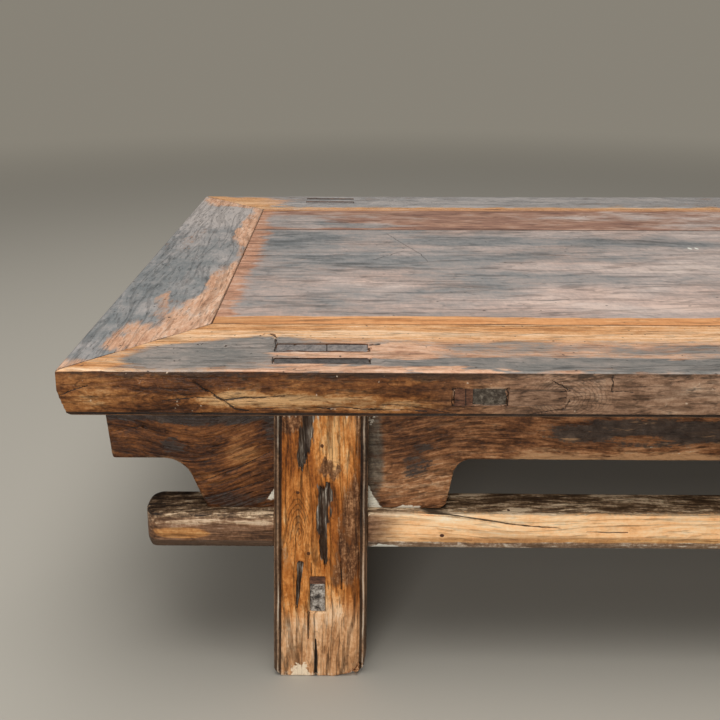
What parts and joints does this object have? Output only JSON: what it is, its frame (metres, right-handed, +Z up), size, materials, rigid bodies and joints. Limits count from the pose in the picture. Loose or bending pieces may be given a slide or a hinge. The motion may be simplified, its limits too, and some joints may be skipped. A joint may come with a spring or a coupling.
{
  "type": "coffee table",
  "caption": "Low rectangular table with recessed legs, mitred frame top with floating panel, aprons with spandrels and rails that pass through the legs.",
  "frame": {"origin": "on the floor, under the middle of the top", "axes": "+X along the table's length, -Y the front seen in the picture, +Z up"},
  "size_m": [1.4, 0.742, 0.3],
  "materials": {
    "top_frame": "old wood, worn lacquer, grey in the fields and bare along the edges",
    "panel": "old wood, worn grey lacquer, flush boards",
    "legs": "old amber wood with dark checks, worn lacquer",
    "aprons": "old brown wood, worn lacquer",
    "rails": "old blond wood, rubbed, dark in the cracks",
    "braces": "plain unfinished wood",
    "wedges": "dark end grain"
  },
  "bodies": {
    "root": {"top_rail_front": "top_frame", "top_rail_back": "top_frame", "top_end_left": "top_frame", "top_end_right": "top_frame", "edge_patch": "top_frame", "panel_board_front": "panel", "panel_board_middle": "panel", "panel_board_back": "panel", "leg_front_left": "legs", "leg_front_right": "legs", "leg_back_left": "legs", "leg_back_right": "legs", "apron_front": "aprons", "apron_back": "aprons", "end_apron_left": "aprons", "end_apron_right": "aprons", "long_rail_front": "rails", "long_rail_back": "rails", "side_stretcher_left": "rails", "side_stretcher_right": "rails", "brace_left": "braces", "brace_middle": "braces", "brace_right": "braces", "brace_wedges": "wedges", "stretcher_wedges": "wedges"}
  },
  "joints": []
}
